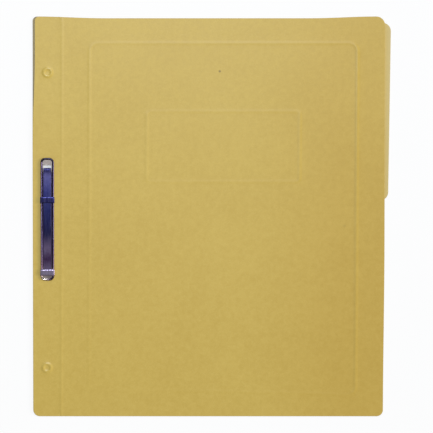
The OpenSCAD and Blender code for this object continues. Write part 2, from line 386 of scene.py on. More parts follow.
@dataclass(frozen=True)
class SteelFinish:
    """Blued or plated steel strip: tint partly painted reflection, rolling streaks, painted highlights,
    edges lightened by wear and painted glints.
    """

    name: str
    tint_and_reflection_stops: tuple[tuple[float, Colour], ...]
    # colour of the painted highlights on the bar's web ends and rim spots
    bare: Colour = (0.62, 0.52, 0.46)
    wear_and_glint_tint: Colour = (0.28, 0.27, 0.40)
    edge_wear_and_glint: float = 0.1
    wear_and_glint_ramp: Point = (0.55, 0.72)
    streak_mm: float = 0.35
    streak_draw: float = 30.0
    streak_ramp: Point = (0.40, 0.75)
    streak_share: float = 0.22
    smudge_mm: float = 2.2
    drift_mm: float = 5.0
    glint_smudge: float = 0.15
    roughness: float = 0.15
    streak_rough: float = 0.08
    smudge_rough: float = 0.06
    bump: Point = (0.12, 0.02)

    def material(self) -> bpy.types.Material:
        """Builds the material."""
        material, tree = new_material(self.name)
        place = tree.node("ShaderNodeTexCoord", output="Object")
        streaks = tree.noise(tree.drawn(place, (1.0, self.streak_draw, 1.0)), self.streak_mm)
        smudge = tree.noise(place, self.smudge_mm, roughness=0.55)
        low, high = self.tint_and_reflection_stops[0][0], self.tint_and_reflection_stops[-1][0]
        # tint by place along the strip: partly the steel's own colour, partly painted reflection
        along = tree.node("ShaderNodeSeparateXYZ", None, {"Vector": place}).other("Y") / MM
        drift = (along - low + self.drift_mm * (smudge - 0.5)) / (high - low)
        stops = [((at - low) / (high - low), colour) for at, colour in self.tint_and_reflection_stops]
        tint = tree.node("ShaderNodeValToRGB", {"stops": stops}, {"Fac": drift})
        edge = tree.node("ShaderNodeNewGeometry", output="Pointiness").ramp(*self.wear_and_glint_ramp)
        bare = tree.attribute("bare") * (1.0 - self.glint_smudge + self.glint_smudge * smudge)
        tint = tree.mix(self.streak_share * streaks.ramp(*self.streak_ramp), tint, self.wear_and_glint_tint)
        # edges lighter: partly wear, partly a painted glint along them
        tint = tree.mix(self.edge_wear_and_glint * edge, tint, self.wear_and_glint_tint)
        # painted highlights on the bar: its web ends and two spots on the rim
        tint = tree.mix(bare, tint, self.bare)
        roughness = self.roughness + self.streak_rough * streaks + self.smudge_rough * smudge
        tree.principled(tint, roughness, streaks, self.bump, {"Metallic": 1.0})
        return material


LILAC: Colour = (0.160, 0.152, 0.41)
BLUE: Colour = (0.06, 0.065, 0.27)
NAVY: Colour = (0.030, 0.036, 0.17)
INK: Colour = (0.022, 0.020, 0.090)
ROSE_GREY: Colour = (0.22, 0.16, 0.29)
MAROON: Colour = (0.075, 0.032, 0.105)
GREY_LAVENDER: Colour = (0.30, 0.24, 0.33)
PLUM_BLACK: Colour = (0.045, 0.036, 0.060)
PLUM: Colour = (0.045, 0.030, 0.080)
MULBERRY: Colour = (0.100, 0.055, 0.085)

# painted reflection along the prongs: the ink stop at the fold stands in for its dark reflection; the other
# stops are partly own colour, partly painted reflection
PRONG_STEEL = SteelFinish(
    "blued_prong_steel",
    (
        (-38.0, ROSE_GREY),
        (-31.0, MAROON),
        (-23.0, ROSE_GREY),
        (-13.0, INK),
        (4.0, NAVY),
        (18.0, BLUE),
        (29.5, LILAC),
        (34.0, INK),
    ),
)
# painted reflection along the bar: the darkest stop at the head end stands in for the curled rim's dark
# reflection; the others are partly its own colour
BAR_STEEL = SteelFinish(
    "plated_bar_steel", ((-40.0, MULBERRY), (-20.0, PLUM), (30.0, PLUM), (43.0, PLUM_BLACK))
)
# both slides take this finish: the grey-lavender stop is painted light on the lower slide, the ink stop
# painted shade on the upper one
SLIDE_STEEL = SteelFinish(
    "plated_slide_steel", ((-38.0, GREY_LAVENDER), (-20.0, NAVY), (12.0, INK)), edge_wear_and_glint=0.15, roughness=0.21
)


@dataclass(frozen=True)
class FloorFinish:
    """Plain white table that shows as white and keeps a faint shadow of the folder."""

    colour: Colour = (0.86, 0.86, 0.86)
    glow: float = 0.86
    painted_shadow_glow: float = 0.3

    def material(self) -> bpy.types.Material:
        """Builds the material, which glows less under the fastener as a painted shadow, seen where its
        holes let the table show.
        """
        material, tree = new_material("white_table")
        path = tree.node("ShaderNodeLightPath", output="Is Camera Ray")
        seen = path.most(path.other("Is Glossy Ray")).most(path.other("Is Transmission Ray"))
        low, high = (Vector(corner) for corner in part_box("compressor_bar"))
        middle, half = (low + high) / 2, (high - low) / 2
        place = tree.node("ShaderNodeTexCoord", output="Object")
        x = tree.node("ShaderNodeSeparateXYZ", None, {"Vector": place})
        beside = abs(x - middle.x).ramp(half.x, half.x + MM)
        beyond = abs(x.other("Y") - middle.y).ramp(half.y, half.y + MM)
        # painted shadow: the table glows less under the fastener, which shows through its holes
        glow = beside.most(beyond).ramp(0.0, 1.0, self.painted_shadow_glow, self.glow)
        matt = tree.node("ShaderNodeBsdfDiffuse", None, {"Color": (*self.colour, 1.0)})
        white = tree.node("ShaderNodeEmission", None, {"Strength": 1.0})
        mixed = tree.node("ShaderNodeMixShader", None, {0: glow * seen, 1: matt, 2: white})
        tree.node("ShaderNodeOutputMaterial", None, {"Surface": mixed})
        return material


def arc(centre: Point, radius: float, start: float, end: float, steps: int) -> list[Point]:
    """Points along an arc, both ends included.

    Args:
        centre: middle of the arc.
        radius: its radius.
        start: first angle in degrees.
        end: last angle in degrees.
        steps: number of chords.

    Returns:
        The points.
    """
    angles = [math.radians(start + (end - start) * i / steps) for i in range(steps + 1)]
    return [(centre[0] + radius * math.cos(a), centre[1] + radius * math.sin(a)) for a in angles]


def ring(centre: Point, radius: float, steps: int = 36, turn: int = 1) -> list[Point]:
    """Points along a circle, the last one a step before the first.

    Args:
        centre: middle of the circle.
        radius: its radius.
        steps: number of chords.
        turn: 1 for counter-clockwise, -1 for clockwise.

    Returns:
        The points.
    """
    return arc(centre, radius, 0, turn * 360 * (steps - 1) / steps, steps - 1)


def smooth(share: float) -> float:
    """Smooth step from 0 to 1, held beyond them."""
    held = min(max(share, 0.0), 1.0)
    return held * held * (3 - 2 * held)


def rise(place: float, span: Point) -> float:
    """Smooth step from 0 at the start of a span to 1 at its end."""
    return smooth((place - span[0]) / (span[1] - span[0]))


def spot_share(point: Sequence[float], middle: Point, radius: float) -> float:
    """Strength of a round spot at a point: 1 within half its radius, fading to 0 at its edge."""
    return smooth(2 - 2 * math.dist(point, middle) / radius)


def between(start: Point, end: Point, pitch: float) -> list[Point]:
    """Points inside a straight run, about a pitch apart, both ends left out."""
    steps = max(1, round(math.dist(start, end) / pitch))
    return [tuple(Vector(start).lerp(Vector(end), i / steps)) for i in range(1, steps)]


def rounded_rect(
    centre: Point, size: Point, radius: float, pitch: float, corner_steps: int = 8
) -> list[Point]:
    """Closed counter-clockwise outline of a rounded rectangle.

    Args:
        centre: its middle.
        size: its width and height.
        radius: radius of its corners.
        pitch: distance of the points on its straight sides.
        corner_steps: chords of each corner.

    Returns:
        The points.
    """
    half = (size[0] / 2 - radius, size[1] / 2 - radius)
    corners = ((1, 1, 0), (-1, 1, 90), (-1, -1, 180), (1, -1, 270))
    outline: list[Point] = []
    for sign_x, sign_y, turn in corners:
        middle = (centre[0] + sign_x * half[0], centre[1] + sign_y * half[1])
        turn_points = arc(middle, radius, turn, turn + 90, corner_steps)
        if outline:
            outline += between(outline[-1], turn_points[0], pitch)
        outline += turn_points
    return outline + between(outline[-1], outline[0], pitch)


def bent_path(
    corners: Sequence[Point], radius: float, steps: int, pitch: float, closed: bool = False
) -> list[Point]:
    """Path that turns its corners in arcs and has points along its straight runs.

    Args:
        corners: corners of the path, and any points that it has to keep on its straight runs.
        radius: radius of its bends.
        steps: chords of each bend.
        pitch: distance of the points on straight runs.
        closed: whether the last corner joins the first one.

    Returns:
        The points.
    """
    path: list[Point] = []
    for i, here in enumerate(corners):
        spot = Vector(here)
        ways = [(Vector(corners[(i + step) % len(corners)]) - spot).normalized() for step in (-1, 1)]
        half = ways[0].angle(ways[1]) / 2
        bend = [here]
        if half < STRAIGHT and (closed or 0 < i < len(corners) - 1):
            middle = spot + (ways[0] + ways[1]).normalized() * (radius / math.sin(half))
            start, end = (spot + way * (radius / math.tan(half)) - middle for way in ways)
            bend = [tuple(middle + start.slerp(end, step / steps) * radius) for step in range(steps + 1)]
        path += between(path[-1], bend[0], pitch) if path else []
        path += bend
    return path + (between(path[-1], path[0], pitch) if closed else [])


def inset(outline: Sequence[Point], depth: float, least_cos: float = 0.5) -> list[Point]:
    """Outline moved to the left of its direction of travel: inwards for a counter-clockwise one.

    Args:
        outline: closed outline.
        depth: distance that it moves.
        least_cos: cosine that limits how far a sharp corner moves.

    Returns:
        The moved points, one for each of the old ones.
    """
    moved: list[Point] = []
    for before, here, after in zip(outline[-1:] + outline[:-1], outline, outline[1:] + outline[:1]):
        first = (Vector(here) - Vector(before)).normalized().orthogonal()
        second = (Vector(after) - Vector(here)).normalized().orthogonal()
        mean = (first + second).normalized()
        moved.append(tuple(Vector(here) + mean * (depth / max(least_cos, mean.dot(first)))))
    return moved


def band(line: Sequence[Point], thickness: float, ease_share: float = 0.3) -> list[Point]:
    """Closed outline of a strip of even thickness along an open line, with eased ends.

    Args:
        line: middle line of the strip.
        thickness: thickness of the strip.
        ease_share: size of the eased ends, as a share of the thickness.

    Returns:
        The outline.
    """
    sides: list[list[Point]] = [[], []]
    ease = ease_share * thickness
    for i, here in enumerate(line):
        ahead = Vector(line[min(i + 1, len(line) - 1)]) - Vector(line[max(i - 1, 0)])
        along = ahead.normalized()
        across = along.orthogonal()
        for side, sign in zip(sides, (1, -1)):
            full = Vector(here) + across * (sign * thickness / 2)
            if i in (0, len(line) - 1):
                inwards = along * (ease if i == 0 else -ease)
                corner = [tuple(full - across * (sign * ease)), tuple(full + inwards)]
                side += corner if i == 0 else corner[::-1]
            else:
                side.append(tuple(full))
    return sides[0] + sides[1][::-1]


def new_object(name: str, mesh: bpy.types.Mesh) -> bpy.types.Object:
    """Links a mesh to the scene as an object at the origin."""
    made = bpy.data.objects.new(name, mesh)
    bpy.context.scene.collection.objects.link(made)
    return made


def wire(name: str, points: Iterable[Sequence[float]], closed: bool) -> bpy.types.Object:
    """Makes an object of edges only, as a path or a section for a sweep.

    Args:
        name: name of the object.
        points: points in millimetres, flat or in space.
        closed: whether the last point joins the first one.

    Returns:
        The object, in metres.
    """
    places = [Vector((*point, 0.0)[:3]) * MM for point in points]
    edges = [(i, i + 1) for i in range(len(places) - 1)]
    mesh = bpy.data.meshes.new(name)
    mesh.from_pydata(places, edges + ([(len(places) - 1, 0)] if closed else []), [])
    return new_object(name, mesh)


def evaluated(obj: bpy.types.Object) -> bpy.types.Mesh:
    """Plain mesh of an object with its modifiers applied."""
    bpy.context.view_layer.update()
    return bpy.data.meshes.new_from_object(obj.evaluated_get(bpy.context.evaluated_depsgraph_get()))


class NodeModifier:
    """A geometry node tree with named inputs that turns a host object into a plain mesh."""

    def __init__(self, name: str, inputs: dict[str, str]) -> None:
        """Makes the tree.

        Args:
            name: name of the tree.
            inputs: socket type of each named input, without its prefix.
        """
        group = bpy.data.node_groups.new(name, "GeometryNodeTree")
        face = group.interface
        face.new_socket(name="Geometry", in_out="INPUT", socket_type="NodeSocketGeometry")
        face.new_socket(name="Geometry", in_out="OUTPUT", socket_type="NodeSocketGeometry")
        self.identifiers = {
            key: face.new_socket(name=key, in_out="INPUT", socket_type=f"NodeSocket{kind}").identifier
            for key, kind in inputs.items()
        }
        self.tree = Tree(group)
        self.geometry = self.tree.node("NodeGroupInput")

    def input(self, name: str) -> Value:
        """Value of a named input."""
        return self.geometry.other(name)

    def close(self, geometry: Value, material: bpy.types.Material) -> None:
        """Ends the tree in real, smooth, dressed geometry.

        Args:
            geometry: what the tree has made.
            material: material that it gets.
        """
        real = self.tree.node("GeometryNodeRealizeInstances", None, {"Geometry": geometry})
        shaded = self.tree.node("GeometryNodeSetShadeSmooth", None, {"Geometry": real})
        sockets = {"Geometry": shaded, "Material": material}
        dressed = self.tree.node("GeometryNodeSetMaterial", None, sockets)
        self.tree.node("NodeGroupOutput", None, {0: dressed})

    def apply(self, host: bpy.types.Object, values: Mapping[str, object]) -> bpy.types.Mesh:
        """Runs the tree on a host object, which is removed.

        Args:
            host: object that holds the path or mesh to work on.
            values: value of each named input.

        Returns:
            The plain mesh.
        """
        modifier = host.modifiers.new(self.tree.tree.name, "NODES")
        modifier.node_group = self.tree.tree
        for name, value in values.items():
            modifier[self.identifiers[name]] = value
        mesh = evaluated(host)
        bpy.data.objects.remove(host)
        return mesh


def mark(mesh: bpy.types.Mesh, name: str, values: Sequence[float]) -> None:
    """Keeps a value for each point of a mesh as a named attribute."""
    mesh.attributes.new(name, "FLOAT", "POINT").data.foreach_set("value", values)


def join(
    name: str, meshes: Iterable[bpy.types.Mesh], material: bpy.types.Material, sharp: float
) -> bpy.types.Object:
    """Joins closed meshes into one piece with outward faces.

    Args:
        name: name of the piece.
        meshes: its closed shells, in metres and in place.
        material: its material.
        sharp: angle in degrees past which an edge stays sharp.

    Returns:
        The piece.
    """
    shape = bmesh.new()
    for mesh in meshes:
        shape.from_mesh(mesh)
    bmesh.ops.recalc_face_normals(shape, faces=shape.faces)
    for face in shape.faces:
        face.smooth = True
        face.material_index = 0
    loose = sum(not edge.is_manifold for edge in shape.edges)
    LOG.info("%s: %d faces, %d open edges", name, len(shape.faces), loose)
    joined = bpy.data.meshes.new(name)
    shape.to_mesh(joined)
    shape.free()
    joined.materials.clear()
    joined.materials.append(material)
    joined.set_sharp_from_angle(angle=math.radians(sharp))
    return new_object(name, joined)


@dataclass
class Row:
    """Line of guide points that the faces of a plate follow; a single point is a row too."""

    points: list[Point]
    closed: bool = False


def holds(loops: Iterable[Sequence[Point]], point: Point) -> bool:
    """Whether a point lies in the area that closed loops bound, holes left out."""
    x, y = point
    inside = False
    for loop in loops:
        for (x0, y0), (x1, y1) in zip(loop, [*loop[1:], loop[0]]):
            if (y0 > y) != (y1 > y) and x < x0 + (x1 - x0) * (y - y0) / (y1 - y0):
                inside = not inside
    return inside


def slab(
    outlines: Sequence[list[Point]], rows: Iterable[Row], levels: Point, ease: float
) -> bpy.types.Mesh:
    """Makes a plate with eased rims, triangulated through guide points.

    Args:
        outlines: its outer outline, counter-clockwise, then its holes, clockwise.
        rows: lines and points inside it that its faces follow.
        levels: its lower and upper level.
        ease: size of the eased rim.

    Returns:
        The mesh in metres, with the attribute cut on its rim.
    """
    loops: list[range] = []
    flat: list[Vector] = []
    bounds = [inset(outline, ease) for outline in outlines]
    for bound in bounds:
        loops.append(range(len(flat), len(flat) + len(bound)))
        flat += [Vector(point) for point in bound]
    rim = [point for outline in outlines for point in outline]
    edges = [(loop[i - 1], loop[i]) for loop in loops for i in range(len(loop))]
    links: list[tuple[int, int]] = []
    for row in rows:
        first, last = len(flat), len(flat) + len(row.points) - 1
        links += [(i, i + 1) for i in range(first, last)] + ([(last, first)] if row.closed else [])
        flat += [Vector(point) for point in row.points]
    places, _, faces, origin, _, _ = delaunay_2d_cdt(flat, edges + links, [], 0, MERGE_GAP)
    at = {old: new for new, olds in enumerate(origin) for old in olds}
    at_bounds = {at[i] for i in range(len(rim))}
    corners = [[places[i] for i in face] for face in faces]
    kept = [
        area_tri(*spots) > LEAST_AREA and holds(bounds, tuple(sum(spots, Vector((0, 0))) / 3))
        for spots in corners
    ]
    faces = [face for face, keep in zip(faces, kept) if keep or not at_bounds.issuperset(face)]
    used = {i: new for new, i in enumerate(sorted({i for face in faces for i in face}))}
    count = len(used)
    low, high = levels
    points = [(*places[i], z) for z in (high, low) for i in used]
    points += [(*point, z) for z in (high - ease, low + ease) for point in rim]
    skin = [[used[i] for i in face] for face in faces]
    skin += [[count + used[i] for i in reversed(face)] for face in faces]
    for a, b in edges:
        top, bottom = 2 * count, 2 * count + len(rim)
        upper, lower = (used[at[a]], used[at[b]]), (count + used[at[a]], count + used[at[b]])
        skin.append([upper[1], upper[0], top + a, top + b])
        skin.append([top + b, top + a, bottom + a, bottom + b])
        skin.append([bottom + b, bottom + a, lower[0], lower[1]])
    mesh = bpy.data.meshes.new("slab")
    mesh.from_pydata([Vector(point) * MM for point in points], [], skin)
    mark(mesh, "cut", [0.0] * (2 * count) + [1.0] * (2 * len(rim)))
    return mesh


class Facing(Enum):
    """Side of a cover sheet that its embossed lines stand out of."""

    UP = 1
    DOWN = -1


@dataclass(frozen=True)
class PressedFrame:
    """Rounded rectangle that a die has pressed into a sheet; its foot can hang to the fore edge."""

    centre: Point
    size: Point
    radius: float
    depth: Point
    hang: float = 0.0
    hang_level: float = 0.26
    least_r: float = 0.15

    def _drop(self, x: Value | float, y: Value | float) -> Value | float:
        """How far the frame hangs below its true place at a point."""
        along = (x - (self.centre[0] - self.size[0] / 2)) / self.size[0]
        below = ((self.centre[1] + self.size[1] / 2) - y) / self.size[1]
        return self.hang * (along * along - self.hang_level) * below

    def outline(self, offset: float, pitch: float) -> list[Point]:
        """Points along the frame's line, or along its side.

        Args:
            offset: distance outwards from the middle of the line.
            pitch: distance of the points.

        Returns:
            The closed outline.
        """
        grown = (self.size[0] + 2 * offset, self.size[1] + 2 * offset)
        points = rounded_rect(self.centre, grown, max(self.least_r, self.radius + offset), pitch)
        return [(x, y - self._drop(x, y)) for x, y in points]

    def gap(self, point: Point) -> float:
        """Distance of a point from the frame's line, taken as square at its corners."""
        x, y = point
        across = abs(x - self.centre[0]) - self.size[0] / 2
        along = abs(y + self._drop(x, y) - self.centre[1]) - self.size[1] / 2
        inner = max(across, along)
        return abs(inner) if inner < 0 else math.hypot(max(across, 0), max(along, 0))

    def lift(self, x: Value, y: Value, half_w: Value) -> Value:
        """How high the frame's line stands at a place.

        Args:
            x: place along X in millimetres.
            y: place along Y in millimetres.
            half_w: half the width of the line in millimetres.

        Returns:
            The share of the full height: the first depth on upright lines, the second on level ones.
        """
        across = abs(x - self.centre[0]) - (self.size[0] / 2 - self.radius)
        along = abs(y + self._drop(x, y) - self.centre[1]) - (self.size[1] / 2 - self.radius)
        outside = (across.most(0.0) ** 2.0 + along.most(0.0) ** 2.0) ** 0.5
        distance = abs(outside + across.most(along).least(0.0) - self.radius)
        depth = (along - across).ramp(-self.radius, self.radius, *self.depth)
        return depth * (distance / half_w).fade(0.0, 1.0)


@dataclass
class Embossing:
    """Lines pressed into a cover sheet, as a rule that lifts its points."""

    crease_x: float
    crease_w: float = 3.6
    crease_h: float = 0.10
    line_w: float = 4.2
    line_h: float = 0.12
    lean: float = 0.0042
    press: Point = (0.0045, 0.0028)
    frames: list[PressedFrame] = field(default_factory=list)
    rings: list[Point] = field(default_factory=list)
    ring_r: float = 2.8
    ring_w: float = 3.7
    ring_h: float = 0.42
    facing: Facing = Facing.UP
    row_pitch: float = 3.0
    clear_share: float = 0.6
    clear_gap: float = 0.4

    def rows(self, low: float, high: float) -> list[Row]:
        """Guide lines along every embossed line.

        Args:
            low: lowest place of the crease along Y.
            high: highest place of the crease along Y.

        Returns:
            The rows.
        """
        shares = (-1.05, -0.85, -0.68, -0.5, -0.32, -0.16, 0.0, 0.16, 0.32, 0.5, 0.68, 0.85, 1.05)
        rows: list[Row] = []
        for share in shares:
            offset = share * self.line_w / 2
            rows += [Row(pressed.outline(offset, self.row_pitch), True) for pressed in self.frames]
            reach = self.ring_r + share * self.ring_w / 2
            rows += [Row(ring(centre, reach), True) for centre in self.rings]
        parts, steps = 24, (-12, -9, -7, -5, -3, -2, -1, 0, 1, 2, 3, 4, 5, 6, 7, 9, 12)
        for crease in (self.crease_x + step / parts * self.crease_w for step in steps):
            ends = ((crease, low), (crease, high))
            rows.append(Row([ends[0], *between(*ends, self.row_pitch), ends[1]]))
        for row in rows:
            row.points = [(x + self.lean * y, y) for x, y in row.points]
        return rows

    def clear(self, point: Point) -> bool:
        """Whether a point keeps off every embossed line, so that it doesn't break up its rows."""
        point = (point[0] - self.lean * point[1], point[1])
        crease_w, ring_w, line_w = (
            self.clear_share * width for width in (self.crease_w, self.ring_w, self.line_w)
        )
        gaps = [abs(point[0] - self.crease_x) - crease_w]
        gaps += [math.dist(point, centre) - self.ring_r - ring_w for centre in self.rings]
        gaps += [pressed.gap(point) - line_w for pressed in self.frames]
        return min(gaps) > self.clear_gap

    def modifier(self, material: bpy.types.Material) -> NodeModifier:
        """Geometry nodes that lift a flat sheet by the rule and keep the lift in the attribute relief."""
        shape = NodeModifier("embossing", {name: "Float" for name in self.values()})
        tree = shape.tree
        place = tree.node("GeometryNodeInputPosition")
        sheet_x = tree.node("ShaderNodeSeparateXYZ", None, {"Vector": place})
        y = sheet_x.other("Y")
        x = sheet_x - shape.input("Lean") * y
        crease = abs(x - shape.input("Crease X")) / (0.5 * shape.input("Crease Width"))
        lift = shape.input("Crease Height") * crease.fade(0.0, 1.0)
        press = 1.0 + shape.input("Press Across") * x + shape.input("Press Along") * y
        for pressed in self.frames:
            share = pressed.lift(x / MM, y / MM, 0.5 * shape.input("Line Width") / MM)
            lift = lift.most(press * shape.input("Line Height") * share)
        for centre in self.rings:
            reach = ((x - centre[0] * MM) ** 2.0 + (y - centre[1] * MM) ** 2.0) ** 0.5
            share = abs(reach - shape.input("Ring Radius")) / (0.5 * shape.input("Ring Width"))
            lift = lift.most(shape.input("Ring Height") * share.fade(0.0, 1.0))
        offset = tree.node("ShaderNodeCombineXYZ", None, {"Z": shape.input("Direction") * lift})
        moved = tree.node("GeometryNodeSetPosition", None, {"Geometry": shape.geometry, "Offset": offset})
        shape.close(tree.store(moved, "relief", lift / shape.input("Line Height")), material)
        return shape

    def values(self) -> dict[str, float]:
        """Value of each input of the modifier, in metres."""
        return {
            "Crease X": self.crease_x * MM,
            "Crease Width": self.crease_w * MM,
            "Crease Height": self.crease_h * MM,
            "Line Width": self.line_w * MM,
            "Line Height": self.line_h * MM,
            "Ring Radius": self.ring_r * MM,
            "Ring Width": self.ring_w * MM,
            "Ring Height": self.ring_h * MM,
            "Direction": float(self.facing.value),
            "Lean": self.lean,
            "Press Across": self.press[0] / MM,
            "Press Along": self.press[1] / MM,
        }


@dataclass
class PiecePlace:
    """Box of a CAD node in millimetres."""

    node: str

    def __post_init__(self) -> None:
        """Reads the node's box from the frame."""
        self.low, self.high = (Vector(corner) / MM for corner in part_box(self.node))
        self.middle = (self.low + self.high) / 2


@dataclass
class Tab:
    """Index tab on the fore edge, whose edge leans in towards its lower end."""

    depth: float
    top: float
    length: float = 129.4
    radius: float = 6.0
    lean: float = math.radians(0.8)

    def reach(self, y: float) -> float:
        """How far the tab stands out of the fore edge at a height, below 0 where it has ended."""
        low, high = self.top - self.length + self.radius, self.top - self.radius
        edge = self.depth - math.tan(self.lean) * (high - min(max(y, low), high))
        past = max(low - y, y - high, 0.0)
        if past > self.radius:
            return -self.radius
        return edge - self.radius + math.sqrt(self.radius**2 - past**2)


@dataclass
class CoverSheet:
    """One pressboard cover: binding strip and leaf in a single sheet that bends at its crease.

    Attributes:
        frame_margins: margins of the border at the crease, the fore edge and the head and foot.
        title: size of the title panel and its distance from the head.
        flare: how far the binding edge stands out below reveal_y.
        draw: how far the binding edge is drawn in at the head, above reveal_y.
        head_bow: how hollow the head edge is between its corners.
        fore_taper: how far the fore edge leans in at the foot, from taper_y down.
        binding_shade_y: heights between which the painted shade along the binding edge sets in.
        stains: place, radius and strength of each stain on the upper face.
        fore_shade_x: places between which the painted shade towards the fore edge grows to full strength.
        frame_hang: how far the border's foot line drops towards the fore edge.
        bend_zone: where the sheet bends, from its crease.
    """

    name: str
    nodes: tuple[str, str]
    leaf_body: str
    joint: str
    facing: Facing
    frame_margins: tuple[float, float, float] | None = None
    title: tuple[Point, float] | None = None
    ring_pitch: float | None = None
    tab_depth: float | None = None
    flare: float = 0.0
    draw: float = 0.0
    head_bow: float = 1.3
    head_ramp: float = 48.0
    fore_taper: float = 0.9
    taper_y: float = -20.0
    reveal_y: float = 120.0
    reveal_fade: float = 70.0
    binding_edge_shaded: bool = False
    binding_shade_y: Point = (70.0, 88.0)
    binding_shade_w: float = 2.4
    stains: tuple[tuple[Point, float, float], ...] = ()
    stain_rings: tuple[float, ...] = (0.5, 0.75, 1.0)
    stain_steps: int = 12
    thumbed: bool = False
    fore_shade_x: Point = (20.0, 105.0)
    fore_shade_y: Point = (420.0, -60.0)
    board_t: float = 0.6
    fore_r: Point = (4.7, 6.4)
    bind_r: Point = (4.8, 3.3)
    hole_r: float = 3.55
    ease: float = 0.2
    frame_r: float = 6.0
    title_r: float = 2.6
    frame_depth: Point = (1.55, 0.56)
    frame_hang: float = 3.5
    title_depth: Point = (1.15, 0.40)
    frame_drop: float = 0.6
    tab_head_gap: float = 4.6
    tab_pitch: float = 0.35
    tab_steps: int = 20
    tab_gap: float = 0.4
    tab_sheen_lead: float = 0.4
    grid: float = 6.0
    grid_start: Point = (0.5, 0.6)
    grid_gap: float = 0.45
    crease_gap: float = 0.6
    corner_turn: int = 9
    edge_pitch: float = 4.0
    edge_reach: float = 132.0
    binding_shade_reach: float = 140.0
    least_step: float = 0.02
    edge_sharp: float = 35.0
    bend_zone: Point = (-0.3, 0.9)

    def __post_init__(self) -> None:
        """Takes the sheet's place from the frame."""
        leaf, strip = (PiecePlace(node) for node in self.nodes)
        self.low = Vector(map(min, leaf.low, strip.low))
        self.high = Vector(map(max, leaf.high, strip.high))
        hinge = next(joint for joint in frame["joints"] if joint["name"] == self.joint)
        self.crease_x = hinge["pos_m"][0] / MM
        prongs = PiecePlace("prong_strip")
        reach = (prongs.high.y - prongs.low.y) / 2 - PRONG_T / 2
        self.holes = [(prongs.middle.x, prongs.middle.y + sign * reach) for sign in (-1, 1)]
        self.fore_x = self.high.x - (self.tab_depth or 0.0)
        self.bottom = self.low.z if self.facing is Facing.UP else self.high.z - self.board_t
        self.tab = Tab(self.tab_depth, self.high.y - self.tab_head_gap) if self.tab_depth else None

    def build(self, material: bpy.types.Material) -> bpy.types.Object:
        """Builds the sheet and lets it stand for its two nodes.

        Args:
            material: finish of the board.

        Returns:
            The piece.
        """
        rule = self._embossing()
        head = self._head_edge(self.crease_x)
        rows = rule.rows(self.low.y + self.crease_gap, head - self.crease_gap)
        rows += [Row([point]) for point in self._grid() if self._inside(point) and rule.clear(point)]
        if self.binding_edge_shaded:
            rows.append(Row([(self._bind_edge(y) + self.binding_shade_w, y) for y in self._levels(self.binding_shade_reach)]))
        for spot, radius, _ in self.stains:
            rows.append(Row([spot]))
            rows += [Row(ring(spot, share * radius, self.stain_steps), True) for share in self.stain_rings]
        holes = [ring(hole, self.hole_r, turn=-1) for hole in self.holes]
        levels = (self.bottom, self.bottom + self.board_t)
        flat = slab([self._outline(), *holes], rows, levels, self.ease)
        self._age(flat)
        mesh = rule.modifier(material).apply(new_object("flat_sheet", flat), rule.values())
        sheet = join(self.name, [mesh], material, self.edge_sharp)
        start, end = ((self.crease_x + offset) * MM for offset in self.bend_zone)
        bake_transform(sheet)
        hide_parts(*self.nodes)
        return sheet

    def _age(self, mesh: bpy.types.Mesh) -> None:
        """Marks the painted shade on the binding edge and towards the fore edge, the stains and the tab's
        painted sheen.
        """
        marks = {name: [0.0] * len(mesh.vertices) for name in ("soil", "stain", "faded", "thumbed")}
        for i, vertex in enumerate(mesh.vertices):
            x, y, z = vertex.co / MM
            # painted shade: a band along the binding edge that sets in towards the head
            if self.binding_edge_shaded and x < self._bind_edge(y) + self.binding_shade_w + self.ease:
                marks["soil"][i] = rise(y, self.binding_shade_y)
            if self.stains and z > self.bottom + self.board_t / 2:
                shares = [share * spot_share((x, y), spot, radius) for spot, radius, share in self.stains]
                marks["stain"][i] = max(shares)
            # painted sheen: the tab is made paler out to its edge
            if self.tab:
                marks["faded"][i] = smooth((x - self.fore_x) / self.tab.depth + self.tab_sheen_lead)
            # painted shade, growing towards the fore edge and the foot
            if self.thumbed:
                marks["thumbed"][i] = rise(x, self.fore_shade_x) * rise(y, self.fore_shade_y)
        for name, values in marks.items():
            mark(mesh, name, values)

    def _embossing(self) -> Embossing:
        """Lines that this sheet carries."""
        rule = Embossing(self.crease_x, facing=self.facing)
        if self.frame_margins:
            bind, fore, ends = self.frame_margins
            left, right = self.crease_x + bind, self.fore_x - fore
            height = self.high.y - self.low.y - 2 * ends
            middle = (left + right) / 2
            centre = (middle, -self.frame_drop)
            size = (right - left, height)
            rule.frames.append(PressedFrame(centre, size, self.frame_r, self.frame_depth, self.frame_hang))
            if self.title:
                size, head = self.title
                centre = (middle, self.high.y - head - size[1] / 2)
                rule.frames.append(PressedFrame(centre, size, self.title_r, self.title_depth))
        if self.ring_pitch:
            x = self.holes[0][0]
            y = (self.holes[0][1] + self.holes[1][1]) / 2
            rule.rings += [(x, y + sign * self.ring_pitch / 2) for sign in (-1, 1)]
        return rule

    def _side(self, y: float, radii: Point) -> float:
        """How far a corner has pulled the edge in at a height; it has radii at the foot and the head."""
        radius = radii[y > 0]
        past = max(abs(y) - (self.high.y - radius), 0.0)
        return radius - math.sqrt(max(radius**2 - past**2, 0.0))

    def _bind_edge(self, y: float) -> float:
        """Place of the binding edge at a height: drawn in at the head, and out by the flare below it."""
        shift = (self.flare + self.draw) * smooth((self.reveal_y - y) / self.reveal_fade) - self.draw
        return self.low.x + self._side(y, self.bind_r) - shift

    def _fore_edge(self, y: float) -> float:
        """Place of the fore edge at a height, index tab included; it tapers in towards the foot."""
        taper = self.fore_taper * smooth((self.taper_y - y) / (self.high.y + self.taper_y))
        plain = self.fore_x - self._side(y, self.fore_r) - taper
        return max(plain, self.fore_x + self.tab.reach(y)) if self.tab else plain

    def _head_edge(self, x: float) -> float:
        """Place of the head edge, which is cut a little hollow between the corners."""
        corner = min(x - self.low.x - self.bind_r[1], self.fore_x - self.fore_r[1] - x)
        return self.high.y - self.head_bow * smooth(corner / self.head_ramp)

